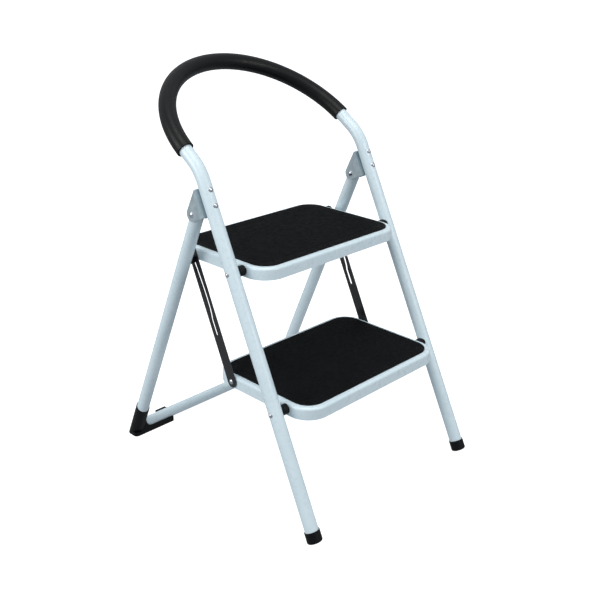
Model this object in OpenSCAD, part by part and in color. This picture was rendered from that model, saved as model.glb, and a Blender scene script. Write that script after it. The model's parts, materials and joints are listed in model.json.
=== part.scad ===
// Folding two-step stool with a hoop handle.
// Origin: middle of the stool's footprint, on the floor. +Z is up.
// The user climbs towards +Y, and +X is at the user's right hand.
//
// Most of the folding gear is laid out in the plane of the front rails:
// u runs up along a rail from the floor, and v runs square to it, to the rear.

/* [Front frame] */
// Diameter of the rail and leg tubes
tube_d = 25; // [22:0.5:26]
// Wall of every steel tube
tube_wall = 1.2; // [1:0.1:2]
// Distance between the centre lines of the two rails
rail_spacing = 416; // [400:1:440]
// Backward lean of the rails from vertical, in degrees
rail_lean = 25; // [23:0.5:27]
// Distance along a rail from the floor to the point where the handle bends back
handle_bend_u = 675; // [660:1:700]
// Radius of that bend, at the centre line
handle_bend_r = 95; // [70:1:110]
// Straight tube between that bend and the hoop
handle_straight = 22; // [10:1:60]
// Outer diameter of the foam grip
grip_d = 33; // [30:0.5:36]
// Angle at each end of the hoop that the grip leaves bare, in degrees
grip_bare = 2; // [2:0.5:20]
// Angle that the grip sits round the hoop towards its left end, in degrees
grip_shift = 2; // [0:0.5:2]

/* [Treads] */
// Distance along a rail from the floor to the lower tread's hinge
lower_u = 233.5; // [225:0.5:240]
// Distance along a rail between the two tread hinges
tread_pitch = 251; // [245:1:256]
// Width of a tread pan
pan_w = 366; // [360:1:367]
// Pan in front of its hinge
pan_front = 55; // [50:0.5:60]
// Pan behind its hinge
pan_rear = 196.5; // [185:0.5:200]
// Height of the pan's flange
pan_h = 22.5; // [20:0.5:24]
// Height of the pan's top above its hinge
pan_above = 10.5; // [9:0.5:11.5]
// Radius of the pan's corners, seen from above
pan_corner_r = 43.5; // [30:0.5:50]
// Radius of the rounded edge between the pan's top and its flange
pan_edge_r = 5; // [3:0.5:6]
// Thickness of the pan's sheet steel
sheet_t = 1.5; // [1.2:0.1:2]
// Border of bare pan round the mat
mat_inset = 10.5; // [7:0.5:12]
// Thickness of the rubber mat
mat_t = 2; // [1.5:0.5:3]

/* [Rear frame] */
// Forward lean of the rear legs from vertical, in degrees
leg_lean = 23.8; // [22:0.1:25]
// Distance along a rail from the floor to the leg hinge
leg_hinge_u = 604; // [600:1:608]
// Distance of the leg hinge behind the rail's centre line
leg_hinge_v = 42.5; // [41:0.5:44]
// Diameter of the crossbar tube
bar_d = 22; // [20:0.5:22]
// Height of the crossbar's centre line above the floor
bar_z = 16; // [15.5:0.5:18]

/* [Fold] */
// Width of a link bar
link_w = 22; // [20:0.5:24]
// Thickness of a link bar
link_t = 2.6; // [2:0.1:2.8]
// Distance of the link hinges behind the rail's centre line when the stool is open
link_v = 128.5; // [127:0.5:130]
// Angle that the treads swing up when the stool folds, in degrees
tread_fold = 47.5; // [40:0.5:48]
// Turn of the rear legs for each degree that the treads turn
leg_ratio = 1.03; // [1.02:0.005:1.04]

/* [Feet] */
// Outer diameter of the front foot caps and of the rear feet's sleeves
foot_d = 28; // [28:0.5:32]
// Length of a front foot cap
cap_h = 20; // [16:1:30]
// Height of the rear feet's sleeves above the floor
sleeve_top = 70; // [60:1:80]

/* [Hidden] */
$fn = 64;

white = [0.85, 0.89, 0.92];
zinc = [0.56, 0.60, 0.63];
bright = [0.78, 0.79, 0.80];
black = [0.05, 0.05, 0.06];
big = 1000;

// Gaps between pieces
slip = 0.05;      // a pin in its hole
seat = 0.1;       // a cap on a tube, and a bush on a tube
side_gap = 0.3;   // between flat faces that slide past each other
slot_gap = 0.35;  // between the slot pin and each side of its slot

handle_bend = acos(0.866804);   // how far the handle bends back from the rails, about 30 degrees
tube_r = tube_d / 2;
rail_x = rail_spacing / 2;
pan_x = pan_w / 2;
link_in_x = pan_x + 0.4;
link_out_x = link_in_x + link_t;
top_u = lower_u + tread_pitch;
bend_start_u = handle_bend_u - handle_bend_r * tan(handle_bend / 2);

// Pins and rivets
step_pin_r = 3;
leg_pin_r = 4;
link_rivet_r = 2.6;
slot_pin_r = 2.5;
bracket_rivet_r = 2.5;
step_bush_r = 9.5;
slot_bush_r = 6.5;
bracket_rivet_u = [605, 634];

// Leg bracket
bracket_t = 2;
bracket_in = tube_r + 1;
web_v = tube_r + 0.1;
web_low_u = leg_hinge_u - 13;
ear_r = 13;
ear_tip_u = web_low_u + 52;

// Front foot cap: its rounded rim touches the floor
cap_r = foot_d / 2;
cap_edge_r = 3;
cap_low_u = (cap_edge_r + (cap_r - cap_edge_r) * sin(rail_lean)) / cos(rail_lean) - cap_edge_r;
cap_floor_t = 4;
rail_end_u = cap_low_u + cap_floor_t;

// Rear legs and feet, in the stool's own y and z before it is centred
leg_hinge_y = leg_hinge_u * sin(rail_lean) + leg_hinge_v * cos(rail_lean);
leg_hinge_z = leg_hinge_u * cos(rail_lean) - leg_hinge_v * sin(rail_lean);
bar_y = leg_hinge_y + (leg_hinge_z - bar_z) * tan(leg_lean);
leg_floor_y = leg_hinge_y + leg_hinge_z * tan(leg_lean);
foot_floor_t = 5;
leg_top = 11;
leg_len = (leg_hinge_z - foot_floor_t - tube_r * sin(leg_lean)) / cos(leg_lean);
sleeve_len = (leg_hinge_z - sleeve_top) / cos(leg_lean);

// Rear foot, apart from its sleeve: distances from the middle of the stool, heights above the floor
rim_tilt = 13;
cradle_end_x = 125;
cradle_half = 14;
cradle_front_h = 11;
cradle_back_h = 18;
lip_far_x = 152;
lip_near_x = 127;
lip_h = bar_z + 8.5;
fillet_r = 20;
toe_back = 10;
toe_h = 8;
toe_r = 8;

// Middle of the footprint, which becomes y = 0
front_y = (cap_low_u + cap_edge_r) * sin(rail_lean) - (cap_r - cap_edge_r) * cos(rail_lean) - cap_edge_r;
rear_y = leg_floor_y + cap_r / cos(leg_lean);
mid_y = (front_y + rear_y) / 2;

// Folding gear
link_arm = link_v / cos(rail_lean);
link_low_u = lower_u + link_v * tan(rail_lean);
slot_pin_arm = (link_v - leg_hinge_v) / sin(rail_lean + leg_lean);
slot_extra = 30;
slot_steps = 16;
round_steps = 10;
link_shift = -1.5;

// ---------------------------------------------------------------- places

// Local z up along the rails, local y square to them, to the rear
module on_rails() {
    translate([0, -mid_y, 0])
        rotate([-rail_lean, 0, 0])
            children();
}

// Local z up along the rear legs, with the leg hinge at the origin
module on_legs() {
    translate([0, leg_hinge_y - mid_y, leg_hinge_z])
        rotate([leg_lean, 0, 0])
            children();
}

// Origin on a tread's hinge, with the tread level
module on_hinge(u) {
    translate([0, u * sin(rail_lean) - mid_y, u * cos(rail_lean)])
        children();
}

// side is -1 for the left and 1 for the right; local z points outwards from the middle
module outwards(side, x) {
    translate([side * x, 0, 0])
        rotate([0, side * 90, 0])
            children();
}

// A rod along x, from x1 to x2 on the given side
module x_rod(side, x1, x2, r) {
    outwards(side, x1)
        cylinder(r = r, h = x2 - x1);
}

// A domed rivet head standing on z = 0
module dome(r, h) {
    ball_r = (r * r + h * h) / (2 * h);
    intersection() {
        translate([0, 0, h - ball_r])
            sphere(r = ball_r);
        cylinder(r = r + 1, h = h);
    }
}

// ---------------------------------------------------------------- front frame

// Local origin where the handle bend starts, on the plane of the rails
module on_bend_start() {
    translate([0, 0, bend_start_u])
        children();
}

// Local z up along the plane of the hoop, from where the handle bend ends
module on_hoop_plane() {
    on_bend_start()
        translate([0, handle_bend_r, 0])
            rotate([-handle_bend, 0, 0])
                translate([0, -handle_bend_r, 0])
                    children();
}

// Cross-section of a tube
module ring() {
    difference() {
        circle(r = tube_r);
        circle(r = tube_r - tube_wall);
    }
}

// Right half of the frame's tube: a rail, a bend and half of the hoop
module half_frame() {
    rail_len = bend_start_u - rail_end_u;
    on_bend_start()
        translate([rail_x, 0, -rail_len])
            linear_extrude(height = rail_len)
                ring();
    difference() {
        on_bend_start()
            translate([rail_x, handle_bend_r, 0])
                rotate([90, 0, -90])
                    rotate_extrude(angle = 90)
                        translate([handle_bend_r, 0])
                            ring();
        on_hoop_plane()
            translate([-big, -big, 0])
                cube([2 * big, 2 * big, big]);
    }
    on_hoop_plane() {
        translate([rail_x, 0, 0])
            linear_extrude(height = handle_straight)
                ring();
        translate([0, 0, handle_straight])
            rotate([90, 0, 0])
                rotate_extrude(angle = 90)
                    translate([rail_x, 0])
                        ring();
    }
}

module front_frame() {
    color(white)
        difference() {
            on_rails() {
                half_frame();
                mirror([1, 0, 0])
                    half_frame();
            }
            on_rails()
                for (side = [-1, 1], u = bracket_rivet_u)
                    translate([side * rail_x, -tube_d, u])
                        rotate([-90, 0, 0])
                            cylinder(r = bracket_rivet_r + slip, h = 2 * tube_d);
            for (side = [-1, 1], u = [lower_u, top_u])
                on_hinge(u)
                    x_rod(side, rail_x - tube_d, rail_x + tube_d, step_pin_r + slip);
        }
}

module hand_grip() {
    color(black)
        on_rails()
            on_hoop_plane()
                translate([0, 0, handle_straight])
                    rotate([90, 0, 0])
                        rotate([0, 0, grip_bare + grip_shift])
                            rotate_extrude(angle = 180 - 2 * grip_bare)
                                translate([rail_x, 0])
                                    difference() {
                                        circle(r = grip_d / 2);
                                        circle(r = tube_r + slip);
                                    }
}

// A cap with a rounded lower rim, pushed over the end of a rail
module front_foot(side) {
    color(black)
        on_rails()
            translate([side * rail_x, 0, cap_low_u])
                difference() {
                    rotate_extrude()
                        union() {
                            translate([0, cap_edge_r])
                                square([cap_r, cap_h - cap_edge_r]);
                            square([cap_r - cap_edge_r, cap_edge_r]);
                            intersection() {
                                translate([cap_r - cap_edge_r, cap_edge_r])
                                    circle(r = cap_edge_r);
                                translate([cap_r - cap_edge_r, 0])
                                    square([cap_edge_r, cap_edge_r]);
                            }
                        }
                    translate([0, 0, cap_floor_t])
                        cylinder(r = tube_r + seat, h = cap_h);
                }
}

// Point where a line from the ear's tip touches the ear's round end; x is v and y is u
function ear_touch(tip, centre, r) =
    let (d = tip - centre,
         gap = norm(d),
         aim = atan2(d[1], d[0]) - acos(r / gap))
    centre + r * [cos(aim), sin(aim)];

// One ear of the bracket: a web edge, a slanted top edge and a round end about the hinge
module ear_outline() {
    centre = [leg_hinge_v, leg_hinge_u];
    tip = [web_v + bracket_t, ear_tip_u];
    union() {
        translate(centre)
            circle(r = ear_r);
        polygon([
            [web_v, web_low_u],
            [leg_hinge_v, web_low_u],
            centre,
            ear_touch(tip, centre, ear_r),
            tip,
            [web_v, ear_tip_u]
        ]);
    }
}

module leg_bracket(side) {
    color(zinc)
        on_rails()
            translate([side * rail_x, 0, 0])
                difference() {
                    union() {
                        for (x = [-bracket_in - bracket_t, bracket_in])
                            translate([x, 0, 0])
                                rotate([90, 0, 90])
                                    linear_extrude(height = bracket_t)
                                        ear_outline();
                        translate([-bracket_in - bracket_t, web_v, web_low_u])
                            cube([2 * (bracket_in + bracket_t), bracket_t, ear_tip_u - web_low_u]);
                    }
                    translate([-tube_d, leg_hinge_v, leg_hinge_u])
                        rotate([0, 90, 0])
                            cylinder(r = leg_pin_r + slip, h = 2 * tube_d);
                    for (u = bracket_rivet_u)
                        translate([0, 0, u])
                            rotate([-90, 0, 0])
                                cylinder(r = bracket_rivet_r + slip, h = tube_d);
                }
}

// Four rivets through the rails: a domed head in front, a flat one on the web
module bracket_rivets() {
    head_r = 5.2;
    color(bright)
        on_rails()
            for (side = [-1, 1], u = bracket_rivet_u)
                translate([side * rail_x, 0, u])
                    rotate([90, 0, 0]) {
                        translate([0, 0, -web_v - bracket_t])
                            cylinder(r = bracket_rivet_r, h = web_v + bracket_t + tube_r - 1);
                        translate([0, 0, -web_v - bracket_t - 1.5])
                            cylinder(r = head_r - 1, h = 1.5);
                        difference() {
                            translate([0, 0, tube_r - 1])
                                dome(head_r, 3.4);
                            rotate([90, 0, 0])
                                cylinder(r = tube_r, h = 4 * head_r, center = true);
                        }
                        translate([0, 0, tube_r - 1])
                            cylinder(r = bracket_rivet_r, h = 1.5);
                    }
}

// Pin through both ears of a bracket and the top of a leg
module leg_pivot_pin(side) {
    head_r = 6;
    ear_out = bracket_in + bracket_t;
    color(bright)
        on_rails()
            translate([side * rail_x, leg_hinge_v, leg_hinge_u]) {
                translate([-ear_out, 0, 0])
                    rotate([0, 90, 0])
                        cylinder(r = leg_pin_r, h = 2 * ear_out);
                for (end = [-1, 1])
                    outwards(end, ear_out)
                        dome(head_r, 2.8);
            }
}

// ---------------------------------------------------------------- tread hinges

// Rivet through a rail, a bush and the flange of a pan
module step_pin(side, u) {
    inner_x = pan_x - sheet_t;
    color(bright)
        on_hinge(u) {
            x_rod(side, inner_x - 2, rail_x + tube_r, step_pin_r);
            x_rod(side, inner_x - 2, inner_x - side_gap, 5.5);
            difference() {
                outwards(side, rail_x + tube_r - 1)
                    dome(5, 3.2);
                rotate([-rail_lean, 0, 0])
                    translate([side * rail_x, 0, 0])
                        cylinder(r = tube_r, h = 30, center = true);
            }
            x_rod(side, rail_x + tube_r - 1, rail_x + tube_r + 0.5, step_pin_r);
        }
}

// Spacer between a rail and a pan, hollowed to sit against the round tube
module step_bush(side, u) {
    color(black)
        on_hinge(u)
            difference() {
                x_rod(side, pan_x + side_gap, rail_x, step_bush_r);
                x_rod(side, pan_x, rail_x, step_pin_r + slip);
                rotate([-rail_lean, 0, 0])
                    translate([side * rail_x, 0, 0])
                        cylinder(r = tube_r + seat, h = 60, center = true);
            }
}

// ---------------------------------------------------------------- treads

// Profile of a quarter of a pan: a wall of height h at distance w, with a rounded top edge
module edge_profile(w, h, edge_r) {
    union() {
        square([w, h - edge_r]);
        square([w - edge_r, h]);
        translate([w - edge_r, h - edge_r])
            circle(r = edge_r);
    }
}

// A slab with round corners and a rounded top edge: x within +-half_w, y from y1 to y2, z from 0 to h
module soft_slab(half_w, y1, y2, h, corner_r, edge_r) {
    mid = (y1 + y2) / 2;
    half_d = (y2 - y1) / 2;
    translate([0, mid, 0]) {
        for (sx = [-1, 1], sy = [-1, 1])
            translate([sx * (half_w - corner_r), sy * (half_d - corner_r), 0])
                rotate([0, 0, sx > 0 ? (sy > 0 ? 0 : -90) : (sy > 0 ? 90 : 180)])
                    rotate_extrude(angle = 90)
                        intersection() {
                            edge_profile(corner_r, h, edge_r);
                            square([corner_r, h]);
                        }
        for (sx = [-1, 1])
            translate([sx * (half_w - corner_r), half_d - corner_r, 0])
                rotate([90, 0, 0])
                    linear_extrude(height = 2 * (half_d - corner_r))
                        mirror([sx > 0 ? 0 : 1, 0, 0])
                            intersection() {
                                edge_profile(corner_r, h, edge_r);
                                square([corner_r, h]);
                            }
        translate([-(half_w - corner_r), 0, 0])
            rotate([90, 0, 90])
                linear_extrude(height = 2 * (half_w - corner_r))
                    union() {
                        edge_profile(half_d, h, edge_r);
                        mirror([1, 0, 0])
                            edge_profile(half_d, h, edge_r);
                    }
    }
}

// Pressed steel pan, open below, with its hinge on the x axis
module step_pan() {
    color(white)
        difference() {
            translate([0, 0, pan_above - pan_h])
                soft_slab(pan_x, -pan_front, pan_rear, pan_h, pan_corner_r, pan_edge_r);
            translate([0, 0, pan_above - pan_h - 1])
                soft_slab(pan_x - sheet_t, -pan_front + sheet_t, pan_rear - sheet_t,
                    pan_h + 1 - sheet_t, pan_corner_r - sheet_t, pan_edge_r - sheet_t);
            for (side = [-1, 1]) {
                x_rod(side, pan_x - 10, pan_x + 10, step_pin_r + slip);
                translate([0, link_arm, 0])
                    x_rod(side, pan_x - 10, pan_x + 10, link_rivet_r + slip);
            }
        }
}

// Rubber mat lying on the pan
module step_mat() {
    r = pan_corner_r - mat_inset;
    color(black)
        translate([0, 0, pan_above])
            linear_extrude(height = mat_t)
                union() {
                    for (sx = [-1, 1], y = [mat_inset - pan_front + r, pan_rear - mat_inset - r])
                        translate([sx * (pan_x - mat_inset - r), y])
                            circle(r = r);
                    translate([-(pan_x - mat_inset), mat_inset - pan_front + r])
                        square([2 * (pan_x - mat_inset), pan_front + pan_rear - 2 * (mat_inset + r)]);
                    translate([-(pan_x - mat_inset - r), mat_inset - pan_front])
                        square([2 * (pan_x - mat_inset - r), pan_front + pan_rear - 2 * mat_inset]);
                }
}

// Rivet that joins a link bar to a pan
module link_rivet(side, u) {
    inner_x = pan_x - sheet_t;
    color(bright)
        on_hinge(u)
            translate([0, link_arm, 0]) {
                x_rod(side, inner_x - 1.5, link_out_x + side_gap, link_rivet_r);
                x_rod(side, inner_x - 1.5, inner_x, 4.5);
                outwards(side, link_out_x + side_gap)
                    dome(5, 2.2);
            }
}

// ---------------------------------------------------------------- link bars

// Place of the slot pin seen from a link bar when the treads have turned by a:
// x runs up along the bar from its lower hinge, y runs to the rear
function slot_point(a) =
    let (leg_angle = rail_lean + leg_lean - leg_ratio * a,
         arm_angle = 90 - rail_lean - a,
         pin_u = leg_hinge_u - slot_pin_arm * cos(leg_angle),
         pin_v = leg_hinge_v + slot_pin_arm * sin(leg_angle))
    [pin_u - lower_u - link_arm * cos(arm_angle), pin_v - link_arm * sin(arm_angle)];

// The slot's centre line follows the pin's own path, and runs on straight past its end
slot_path = concat(
    [for (i = [0:slot_steps]) slot_point(i * tread_fold / slot_steps)],
    [slot_point(tread_fold) - [slot_extra, 0]]
);

// Heading of the slot at point i of its centre line, in degrees
function slot_heading(i) =
    let (step = slot_path[min(i + 1, slot_steps + 1)] - slot_path[max(i - 1, 0)])
    atan2(step[1], step[0]);

// A point on the rim of the slot, in the direction given
function slot_rim(i, direction) =
    slot_path[i] + (slot_pin_r + slot_gap) * [cos(direction), sin(direction)];

module slot_outline() {
    last = slot_steps + 1;
    turn = 180 / round_steps;
    polygon(concat(
        [for (i = [0:last]) slot_rim(i, slot_heading(i) + 90)],
        [for (k = [1:round_steps - 1]) slot_rim(last, slot_heading(last) + 90 - k * turn)],
        [for (i = [last:-1:0]) slot_rim(i, slot_heading(i) - 90)],
        [for (k = [1:round_steps - 1]) slot_rim(0, slot_heading(0) - 90 - k * turn)]
    ));
}

module link_outline() {
    difference() {
        union() {
            for (x = [0, tread_pitch])
                translate([x, link_shift])
                    circle(r = link_w / 2);
            translate([0, link_shift - link_w / 2])
                square([tread_pitch, link_w]);
        }
        for (x = [0, tread_pitch])
            translate([x, 0])
                circle(r = link_rivet_r + slip);
        slot_outline();
    }
}

module link_bar(side) {
    color(black)
        on_rails()
            translate([side > 0 ? link_in_x : -link_out_x, link_v, link_low_u])
                multmatrix([[0, 0, 1, 0], [0, 1, 0, 0], [-1, 0, 0, 0]])
                    linear_extrude(height = link_t)
                        mirror([1, 0, 0])
                            link_outline();
}

// ---------------------------------------------------------------- rear frame

module leg_rod(side, r, top, bottom) {
    on_legs()
        translate([side * rail_x, 0, -bottom])
            cylinder(r = r, h = top + bottom);
}

module bar_rod(r) {
    translate([-rail_x, bar_y - mid_y, bar_z])
        rotate([0, 90, 0])
            cylinder(r = r, h = 2 * rail_x);
}

module rear_leg(side) {
    color(white)
        difference() {
            leg_rod(side, tube_r, leg_top, leg_len);
            leg_rod(side, tube_r - tube_wall, leg_top + 1, leg_len + 1);
            on_legs() {
                x_rod(side, rail_x - tube_d, rail_x + tube_d, leg_pin_r + slip);
                translate([0, 0, -slot_pin_arm])
                    x_rod(side, rail_x - tube_d, rail_x, slot_pin_r + slip);
            }
        }
}

// Straight tube whose ends are cut to fit round the legs
module rear_crossbar() {
    color(white)
        difference() {
            bar_rod(bar_d / 2);
            translate([0, bar_y - mid_y, bar_z])
                rotate([0, 90, 0])
                    cylinder(r = bar_d / 2 - tube_wall, h = 2 * rail_spacing, center = true);
            for (side = [-1, 1])
                leg_rod(side, tube_r + slip, 0, big);
        }
}

// Toe of a rear foot, seen from above, with the crossbar's centre line on the x axis
module toe_outline() {
    end_x = rail_x + cap_r - toe_r;
    union() {
        translate([rail_x, -cradle_half])
            square([cap_r - toe_r, cradle_half + toe_back]);
        translate([rail_x, toe_r - cradle_half])
            square([cap_r, cradle_half + toe_back - 2 * toe_r]);
        for (y = [toe_r - cradle_half, toe_back - toe_r])
            translate([end_x, y])
                circle(r = toe_r);
    }
}

// Web between the sleeve and the cradle's front wall, seen from the front, with a hollow edge
module web_outline() {
    web_x = rail_x - cap_r + 1 - fillet_r;
    difference() {
        translate([web_x, 0])
            square([rail_x - web_x, cradle_front_h + fillet_r]);
        translate([web_x, cradle_front_h + fillet_r])
            circle(r = fillet_r);
    }
}

// Cradle under and behind the crossbar, with a raised lip, on the right
module cradle() {
    translate([cradle_end_x, -cradle_half, 0])
        cube([rail_x - cradle_end_x, cradle_half, cradle_front_h]);
    translate([cradle_end_x, 0, 0])
        cube([rail_x - cradle_end_x, cradle_half, cradle_back_h]);
    translate([lip_near_x, 0, 0])
        cube([lip_far_x - lip_near_x, cradle_half, lip_h]);
    rotate([90, 0, 0])
        linear_extrude(height = cradle_half)
            web_outline();
    linear_extrude(height = toe_h)
        toe_outline();
}

// Corner foot: a sleeve up the leg, with a slanted rim, and a cradle for the crossbar
module rear_foot(side) {
    color(black)
        difference() {
            union() {
                difference() {
                    leg_rod(side, cap_r, tube_d - sleeve_len, leg_len + tube_d);
                    on_legs()
                        translate([0, 0, -sleeve_len])
                            rotate([rim_tilt, 0, 0])
                                translate([-big, -big, 0])
                                    cube([2 * big, 2 * big, big]);
                    translate([-big, -big, -big])
                        cube([2 * big, 2 * big, big]);
                }
                translate([0, bar_y - mid_y, 0])
                    multmatrix([[side, 0, 0, 0], [0, 1, 0, 0], [0, 0, 1, 0]])
                        cradle();
            }
            leg_rod(side, tube_r + seat, 0, leg_len);
            bar_rod(bar_d / 2 + seat);
        }
}

// Pin fixed in the inner wall of a leg, riding in the slot of the link bar
module slot_pin(side) {
    wall_x = rail_x - tube_r + tube_wall;
    color(bright)
        on_legs()
            translate([0, 0, -slot_pin_arm]) {
                x_rod(side, link_in_x, wall_x + 1.5, slot_pin_r);
                x_rod(side, wall_x + 0.8, wall_x + 2.3, 4);
            }
}

// Spacer on that pin between the leg and the link bar
module slot_bush(side) {
    color(black)
        difference() {
            on_legs()
                translate([0, 0, -slot_pin_arm])
                    difference() {
                        x_rod(side, link_out_x + side_gap, rail_x - tube_r + 3, slot_bush_r);
                        x_rod(side, link_out_x, rail_x, slot_pin_r + slip);
                    }
            leg_rod(side, tube_r + seat, 0, leg_len);
        }
}

// ---------------------------------------------------------------- nodes

front_frame();
hand_grip();
front_foot(-1);  // front_foot_left
front_foot(1);  // front_foot_right
leg_bracket(-1);  // leg_bracket_left
leg_bracket(1);  // leg_bracket_right
bracket_rivets();
leg_pivot_pin(-1);  // leg_pivot_pin_left
leg_pivot_pin(1);  // leg_pivot_pin_right
step_pin(-1, top_u);  // top_step_pin_left
step_pin(1, top_u);  // top_step_pin_right
step_pin(-1, lower_u);  // lower_step_pin_left
step_pin(1, lower_u);  // lower_step_pin_right
step_bush(-1, top_u);  // top_step_bush_left
step_bush(1, top_u);  // top_step_bush_right
step_bush(-1, lower_u);  // lower_step_bush_left
step_bush(1, lower_u);  // lower_step_bush_right
on_hinge(top_u) step_pan();  // top_step_pan
on_hinge(top_u) step_mat();  // top_step_mat
link_rivet(-1, top_u);  // top_link_rivet_left
link_rivet(1, top_u);  // top_link_rivet_right
on_hinge(lower_u) step_pan();  // lower_step_pan
on_hinge(lower_u) step_mat();  // lower_step_mat
link_rivet(-1, lower_u);  // lower_link_rivet_left
link_rivet(1, lower_u);  // lower_link_rivet_right
link_bar(-1);  // link_bar_left
link_bar(1);  // link_bar_right
rear_leg(-1);  // rear_leg_left
rear_leg(1);  // rear_leg_right
rear_crossbar();
rear_foot(-1);  // rear_foot_left
rear_foot(1);  // rear_foot_right
slot_pin(-1);  // slot_pin_left
slot_pin(1);  // slot_pin_right
slot_bush(-1);  // slot_bush_left
slot_bush(1);  // slot_bush_right
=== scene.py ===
"""Looks of the folding two-step stool: materials, ribbed mats, foam grip, floor, light and camera.

Lengths are in metres, in the frame of the CAD part: +Z is up and the stool is climbed towards +Y.
"""

import json
import math

import bmesh
import bpy
from mathutils import Euler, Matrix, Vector


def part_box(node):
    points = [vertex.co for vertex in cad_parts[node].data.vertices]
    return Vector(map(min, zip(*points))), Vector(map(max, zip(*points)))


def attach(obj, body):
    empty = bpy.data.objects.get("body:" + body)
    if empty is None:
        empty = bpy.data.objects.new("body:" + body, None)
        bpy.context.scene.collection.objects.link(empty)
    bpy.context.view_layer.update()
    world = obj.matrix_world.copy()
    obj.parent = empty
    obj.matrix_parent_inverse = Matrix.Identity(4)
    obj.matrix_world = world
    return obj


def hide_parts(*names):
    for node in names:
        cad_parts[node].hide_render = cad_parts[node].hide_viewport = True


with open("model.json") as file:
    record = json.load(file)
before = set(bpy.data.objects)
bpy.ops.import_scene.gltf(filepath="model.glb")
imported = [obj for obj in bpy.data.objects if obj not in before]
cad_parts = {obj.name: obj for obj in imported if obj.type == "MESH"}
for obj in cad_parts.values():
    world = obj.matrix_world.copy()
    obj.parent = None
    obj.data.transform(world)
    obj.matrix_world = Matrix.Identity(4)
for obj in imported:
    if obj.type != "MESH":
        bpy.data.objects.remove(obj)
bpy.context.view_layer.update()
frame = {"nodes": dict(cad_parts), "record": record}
nodes = frame["nodes"]
MM = 0.001

# ---------------------------------------------------------------- materials

# Most of a noise's values lie between these
NOISE_LOW, NOISE_HIGH = 0.3, 0.7


def linear(colour):
    """sRGB values from 0 to 1 as the linear colour that shaders take."""
    return tuple(c / 12.92 if c <= 0.04045 else ((c + 0.055) / 1.055) ** 2.4 for c in colour) + (1.0,)


class Surface:
    """A Principled material whose colour, roughness and relief come from procedural noise."""

    def __init__(self, name, metallic=0.0, **sockets):
        self.material = bpy.data.materials.new(name)
        self.material.use_nodes = True
        self.tree = self.material.node_tree
        self.shader = self.tree.nodes["Principled BSDF"]
        self.shader.inputs["Metallic"].default_value = metallic
        for socket, value in sockets.items():
            self.shader.inputs[socket.replace("_", " ")].default_value = value
        self.place = self.tree.nodes.new("ShaderNodeTexCoord").outputs["Object"]
        self.relief = None

    def link(self, a, b):
        self.tree.links.new(a, b)

    def stretched(self, stretch):
        """Object coordinates, scaled along each axis."""
        node = self.tree.nodes.new("ShaderNodeMapping")
        node.inputs["Scale"].default_value = stretch
        self.link(self.place, node.inputs["Vector"])
        return node.outputs["Vector"]

    def noise(self, size, detail=3.0, stretch=None):
        """Noise with features of about this size."""
        node = self.tree.nodes.new("ShaderNodeTexNoise")
        node.inputs["Scale"].default_value = 1.0 / size
        node.inputs["Detail"].default_value = detail
        self.link(self.stretched(stretch) if stretch else self.place, node.inputs["Vector"])
        return node.outputs["Fac"]

    def cells(self, size):
        """Distance to the nearest of many scattered points of about this spacing."""
        node = self.tree.nodes.new("ShaderNodeTexVoronoi")
        node.inputs["Scale"].default_value = 1.0 / size
        self.link(self.place, node.inputs["Vector"])
        return node.outputs["Distance"]

    def ramp(self, factor, stops):
        """Colours along a factor: [(position, colour), ...]."""
        node = self.tree.nodes.new("ShaderNodeValToRGB")
        ramp = node.color_ramp
        while len(ramp.elements) < len(stops):
            ramp.elements.new(1.0)
        for element, (position, colour) in zip(ramp.elements, stops):
            element.position = position
            element.color = colour
        self.link(factor, node.inputs["Fac"])
        return node.outputs["Color"]

    def spread(self, factor, low, high):
        """The factor's middle range stretched to run from low to high."""
        node = self.tree.nodes.new("ShaderNodeMapRange")
        node.inputs["From Min"].default_value = NOISE_LOW
        node.inputs["From Max"].default_value = NOISE_HIGH
        node.inputs["To Min"].default_value = low
        node.inputs["To Max"].default_value = high
        self.link(factor, node.inputs["Value"])
        return node.outputs["Result"]

    def colour(self, factor, low, high):
        """Base colour that drifts between two sRGB colours."""
        stops = [(NOISE_LOW, linear(low)), (NOISE_HIGH, linear(high))]
        self.link(self.ramp(factor, stops), self.shader.inputs["Base Color"])

    def roughness(self, factor, low, high):
        self.link(self.spread(factor, low, high), self.shader.inputs["Roughness"])

    def bump(self, factor, depth, strength=1.0):
        """Adds relief of this depth on top of any before it."""
        node = self.tree.nodes.new("ShaderNodeBump")
        node.inputs["Distance"].default_value = depth
        node.inputs["Strength"].default_value = strength
        self.link(factor, node.inputs["Height"])
        if self.relief:
            self.link(self.relief, node.inputs["Normal"])
        self.relief = node.outputs["Normal"]
        self.link(self.relief, self.shader.inputs["Normal"])


def powder_coat(name, low, high, gloss):
    """Baked powder coat: a faint orange peel over a satin film."""
    s = Surface(name, IOR=1.5, Coat_Weight=0.25, Coat_Roughness=0.18)
    s.colour(s.noise(60 * MM, 4), low, high)
    s.roughness(s.noise(9 * MM), gloss, gloss + 0.1)
    s.bump(s.noise(2.2 * MM, 2), 0.02 * MM)
    s.bump(s.noise(0.5 * MM, 1), 0.006 * MM)
    return s.material


def zinc_plate():
    """Dull zinc plating with a rolled grain and soft blotches."""
    s = Surface("zinc_plate", metallic=0.55)
    s.colour(s.noise(12 * MM, 6), (0.64, 0.70, 0.72), (0.74, 0.79, 0.81))
    s.roughness(s.noise(3 * MM), 0.38, 0.52)
    s.bump(s.noise(1.2 * MM, 3, stretch=(1, 1, 0.08)), 0.02 * MM)
    return s.material


def bright_rivet():
    """Bright plating, a little dented where the rivet was set."""
    s = Surface("bright_rivet", metallic=1.0)
    s.colour(s.noise(4 * MM, 3), (0.70, 0.72, 0.74), (0.86, 0.87, 0.88))
    s.roughness(s.noise(1.5 * MM), 0.14, 0.3)
    s.bump(s.noise(1.8 * MM, 2), 0.05 * MM)
    return s.material


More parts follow.
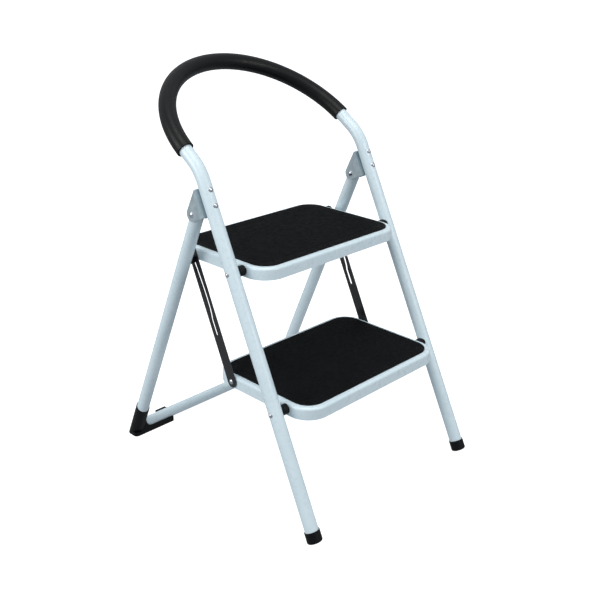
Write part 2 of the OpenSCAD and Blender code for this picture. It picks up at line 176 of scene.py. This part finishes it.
def foam():
    """Closed-cell foam with a smooth skin and shallow pores."""
    s = Surface("foam_skin", IOR=1.45, Specular_IOR_Level=0.3)
    s.colour(s.noise(25 * MM, 5), (0.008, 0.008, 0.009), (0.02, 0.02, 0.022))
    s.roughness(s.noise(6 * MM), 0.34, 0.46)
    s.bump(s.cells(1.1 * MM), 0.05 * MM, 0.6)
    s.bump(s.noise(14 * MM, 2), 0.5 * MM, 0.5)
    return s.material


def mat_rubber():
    """Black rubber with a fine grain and a trace of dust."""
    s = Surface("mat_rubber", IOR=1.5, Specular_IOR_Level=0.1)
    s.colour(s.noise(35 * MM, 6), (0.03, 0.031, 0.036), (0.055, 0.056, 0.062))
    s.roughness(s.noise(8 * MM), 0.55, 0.72)
    s.bump(s.noise(0.7 * MM, 2), 0.05 * MM)
    return s.material


def moulded_black():
    """Moulded black plastic with a spark-eroded grain."""
    s = Surface("moulded_black", IOR=1.46, Specular_IOR_Level=0.22)
    s.colour(s.noise(18 * MM, 4), (0.015, 0.018, 0.024), (0.03, 0.034, 0.044))
    s.roughness(s.noise(5 * MM), 0.36, 0.5)
    s.bump(s.cells(0.8 * MM), 0.03 * MM, 0.6)
    return s.material


WHITE_COAT = powder_coat("white_coat", (0.835, 0.90, 0.925), (0.865, 0.92, 0.94), 0.24)
BLACK_COAT = powder_coat("black_coat", (0.02, 0.02, 0.022), (0.045, 0.045, 0.05), 0.32)
FINISHES = {
    "white_coat": WHITE_COAT,
    "black_coat": BLACK_COAT,
    "bracket_steel": zinc_plate(),
    "rivet_steel": bright_rivet(),
    "foam_grip": foam(),
    "mat_rubber": mat_rubber(),
    "black_plastic": moulded_black(),
}

for part in frame["record"]["subparts"]:
    mesh = nodes[part["node"]].data
    mesh.materials.clear()
    mesh.materials.append(FINISHES[part["material_slot"]])

# ---------------------------------------------------------------- mesh helpers


def piece(name, bm, slot, body, stands_for=()):
    """A finished piece from a bmesh, on a CAD body."""
    bmesh.ops.recalc_face_normals(bm, faces=bm.faces)
    mesh = bpy.data.meshes.new(name)
    bm.to_mesh(mesh)
    bm.free()
    obj = bpy.data.objects.new(name, mesh)
    bpy.context.scene.collection.objects.link(obj)
    mesh.materials.append(FINISHES[slot])
    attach(obj, body)
    if stands_for:
        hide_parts(*stands_for)
    return obj


def loft(bm, rings, closed=False):
    """Joins rings of equal length with quads, each ring closed on itself."""
    rows = [[bm.verts.new(p) for p in ring] for ring in rings]
    pairs = list(zip(rows, rows[1:])) + ([(rows[-1], rows[0])] if closed else [])
    for a, b in pairs:
        for i in range(len(a)):
            j = (i + 1) % len(a)
            bm.faces.new((a[i], a[j], b[j], b[i]))
    return rows


def smooth(obj, angle=35):
    """Smooth shading, with edges sharper than the angle kept crisp."""
    for face in obj.data.polygons:
        face.use_smooth = True
    obj.data.set_sharp_from_angle(angle=math.radians(angle))


# ---------------------------------------------------------------- foam grip

GRIP_R = 16.5 * MM
TUBE_R = 12.5 * MM
BORE_GAP = 0.3 * MM
RAIL_LEAN = math.radians(25)
HANDLE_BEND = math.acos(0.866804)
HOOP_TILT = RAIL_LEAN + HANDLE_BEND
# The grip starts this far round the hoop from its right end, and covers its left end
GRIP_BARE_RIGHT = math.radians(4)
GRIP_EDGE = 1.8 * MM
EDGE_STEPS = 5
STEPS_AROUND = 48
OUTER_STEPS = 150
BORE_STEPS = 120


def grip():
    """A foam tube round the hoop, with its cut ends softly rounded."""
    low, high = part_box("hand_grip")
    hoop_r = -low[0] - GRIP_R
    centre = Vector((
        0,
        high[1] - GRIP_R - hoop_r * math.sin(HOOP_TILT),
        high[2] - GRIP_R - hoop_r * math.cos(HOOP_TILT),
    ))
    across = Vector((0, math.cos(HOOP_TILT), -math.sin(HOOP_TILT)))

    def ring(angle, radius):
        """Points round the tube, at this angle round the hoop from its right end."""
        up = math.sin(angle)
        out = Vector((math.cos(angle), up * math.sin(HOOP_TILT), up * math.cos(HOOP_TILT)))
        turns = [2 * math.pi * k / STEPS_AROUND for k in range(STEPS_AROUND)]
        return [
            centre + out * (hoop_r + radius * math.cos(t)) + across * radius * math.sin(t)
            for t in turns
        ]

    edge = GRIP_EDGE / hoop_r
    span = math.pi - GRIP_BARE_RIGHT
    body_start = GRIP_BARE_RIGHT + edge
    body_span = span - 2 * edge
    quarter = [math.pi / 2 * k / EDGE_STEPS for k in range(EDGE_STEPS + 1)]
    rim = [
        (edge * (1 - math.sin(q)), GRIP_R - GRIP_EDGE * (1 - math.cos(math.pi / 2 - q)))
        for q in quarter
    ]
    profile = [(GRIP_BARE_RIGHT + a, r) for a, r in rim]
    profile += [(body_start + body_span * k / OUTER_STEPS, GRIP_R) for k in range(1, OUTER_STEPS)]
    profile += [(math.pi - a, r) for a, r in reversed(rim)]
    outer = [ring(a, r) for a, r in profile]
    inner = [
        ring(math.pi - span * k / BORE_STEPS, TUBE_R + BORE_GAP) for k in range(BORE_STEPS + 1)
    ]
    bm = bmesh.new()
    loft(bm, outer + inner, closed=True)
    obj = piece("grip_foam", bm, "foam_grip", "front", ["hand_grip"])
    smooth(obj, 60)


grip()

# ---------------------------------------------------------------- ribbed mats

MAT_CORNER = 34 * MM
MAT_BASE = 1.1 * MM
BORDER_W = 15 * MM
BORDER_GROOVE = 1.2 * MM
BORDER_PITCH = 4 * MM
RIB_PITCH = 4 * MM
RIB_FOOT = 2.6 * MM
RIB_CREST = 1.6 * MM
RIB_END_LEAN = 0.5 * MM
RIB_SINK = 0.1 * MM
FIELD_GAP = 1.2 * MM
GROOVE_SLOPE = 0.35 * MM
CHAMFER = 0.5 * MM
CORNER_STEPS = 10


def outline(half_x, half_y, corner, middle, z):
    """A rectangle with round corners, as a ring of points."""
    points = []
    for sx, sy, start in ((1, 1, 0), (-1, 1, 90), (-1, -1, 180), (1, -1, 270)):
        for k in range(CORNER_STEPS + 1):
            a = math.radians(start + 90 / CORNER_STEPS * k)
            points.append((
                middle[0] + sx * (half_x - corner) + corner * math.cos(a),
                middle[1] + sy * (half_y - corner) + corner * math.sin(a),
                z,
            ))
    return points


def mat(name, node, body):
    """A rubber mat: grooved border lines along its edges and fine ribs across its field."""
    low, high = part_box(node)
    middle = ((low[0] + high[0]) / 2, (low[1] + high[1]) / 2)
    half_x, half_y = (high[0] - low[0]) / 2, (high[1] - low[1]) / 2
    base, top = low[2] + MAT_BASE, high[2]

    def inset(d, z):
        return outline(half_x - d, half_y - d, MAT_CORNER - d, middle, z)

    bm = bmesh.new()
    rings = [inset(0, low[2]), inset(0, top - CHAMFER), inset(CHAMFER, top)]
    d = BORDER_PITCH
    while d < BORDER_W:
        rings += [
            inset(d - BORDER_GROOVE / 2 - GROOVE_SLOPE, top),
            inset(d - BORDER_GROOVE / 2, base),
            inset(d + BORDER_GROOVE / 2, base),
            inset(d + BORDER_GROOVE / 2 + GROOVE_SLOPE, top),
        ]
        d += BORDER_PITCH
    rings += [inset(BORDER_W, top), inset(BORDER_W + GROOVE_SLOPE, base)]
    rows = loft(bm, rings)
    bm.faces.new(rows[0])
    bm.faces.new(rows[-1])

    field = BORDER_W + GROOVE_SLOPE + FIELD_GAP
    reach_x, reach_y, corner = half_x - field, half_y - field, MAT_CORNER - field
    count = int((2 * reach_y - RIB_FOOT) / RIB_PITCH) + 1
    for i in range(count):
        y = (i - (count - 1) / 2) * RIB_PITCH
        into_corner = abs(y) + RIB_FOOT / 2 - (reach_y - corner)
        reach = reach_x
        if into_corner > 0:
            reach -= corner - math.sqrt(max(corner ** 2 - into_corner ** 2, 0))
        ends = []
        for side in (-1, 1):
            foot_x = middle[0] + side * reach
            crest_x = foot_x - side * RIB_END_LEAN
            ends.append([
                (foot_x, middle[1] + y - RIB_FOOT / 2, base - RIB_SINK),
                (foot_x, middle[1] + y + RIB_FOOT / 2, base - RIB_SINK),
                (crest_x, middle[1] + y + RIB_CREST / 2, top),
                (crest_x, middle[1] + y - RIB_CREST / 2, top),
            ])
        near, far = loft(bm, ends)
        bm.faces.new(near)
        bm.faces.new(far)
    piece(name, bm, "mat_rubber", body, [node])


mat("top_mat", "top_step_mat", "top_tread")
mat("lower_mat", "lower_step_mat", "lower_tread")

# ---------------------------------------------------------------- stage, light and camera


STAGE_SIZE = 30
LIGHTS_AIM = (0, 0, 0.38)


def area_light(name, place, size, power):
    """A rectangular lamp, in watts, turned to the middle of the stool."""
    light = bpy.data.lights.new(name, "AREA")
    light.shape = "RECTANGLE"
    light.size, light.size_y = size
    light.energy = power
    obj = bpy.data.objects.new(name, light)
    obj.location = place
    obj.rotation_euler = (Vector(LIGHTS_AIM) - Vector(place)).to_track_quat("-Z", "Y").to_euler()
    bpy.context.scene.collection.objects.link(obj)


def backdrop(name, bm, paint):
    """A stage piece that only the camera sees."""
    mesh = bpy.data.meshes.new(name)
    bm.to_mesh(mesh)
    bm.free()
    obj = bpy.data.objects.new(name, mesh)
    bpy.context.scene.collection.objects.link(obj)
    mesh.materials.append(paint)
    obj.visible_diffuse = False
    obj.visible_glossy = False
    obj.visible_shadow = False


def studio():
    """White floor and dome, three lamps, and a sky that is brighter above."""
    white = (1.0, 1.0, 1.0, 1.0)
    paint = Surface("studio_paint", Roughness=0.9, Emission_Color=white, Emission_Strength=1.0)
    paint.colour(paint.noise(0.8, 2), (0.66, 0.66, 0.665), (0.68, 0.68, 0.68))
    floor = bmesh.new()
    bmesh.ops.create_grid(floor, x_segments=1, y_segments=1, size=STAGE_SIZE)
    backdrop("floor", floor, paint.material)
    dome = bmesh.new()
    bmesh.ops.create_uvsphere(dome, u_segments=48, v_segments=24, radius=STAGE_SIZE)
    backdrop("dome", dome, paint.material)

    area_light("front", (0.5, -2.8, 1.7), (0.4, 1.6), 20)
    area_light("left", (-2.8, 1.0, 1.5), (1.8, 1.8), 42)
    area_light("top", (-0.5, -0.4, 2.9), (1.6, 1.6), 22)

    world = bpy.data.worlds.new("studio")
    world.use_nodes = True
    tree = world.node_tree
    place = tree.nodes.new("ShaderNodeTexCoord")
    split = tree.nodes.new("ShaderNodeSeparateXYZ")
    ramp = tree.nodes.new("ShaderNodeValToRGB")
    tree.links.new(place.outputs["Generated"], split.inputs["Vector"])
    tree.links.new(split.outputs["Z"], ramp.inputs["Fac"])
    below, above = ramp.color_ramp.elements
    below.position, below.color = 0.0, (0.35, 0.375, 0.405, 1.0)
    above.position, above.color = 0.6, (0.60, 0.63, 0.66, 1.0)
    tree.links.new(ramp.outputs["Color"], tree.nodes["Background"].inputs["Color"])
    bpy.context.scene.world = world
    bpy.context.scene.view_settings.view_transform = "Standard"


CAMERA_PLACE = (-1.1646, -1.1850, 0.9942)
CAMERA_AZIMUTH = math.radians(-44.97)
CAMERA_ELEVATION = math.radians(16.02)
CAMERA_LENS = 54.4
CAMERA_SHIFT = -0.167


def camera():
    """Stands in front of the stool on its left and above it, looking down."""
    data = bpy.data.cameras.new("camera")
    data.lens = CAMERA_LENS
    data.shift_y = CAMERA_SHIFT
    obj = bpy.data.objects.new("camera", data)
    obj.location = CAMERA_PLACE
    obj.rotation_euler = Euler((math.pi / 2 - CAMERA_ELEVATION, 0, CAMERA_AZIMUTH))
    bpy.context.scene.collection.objects.link(obj)
    bpy.context.scene.camera = obj


studio()
camera()
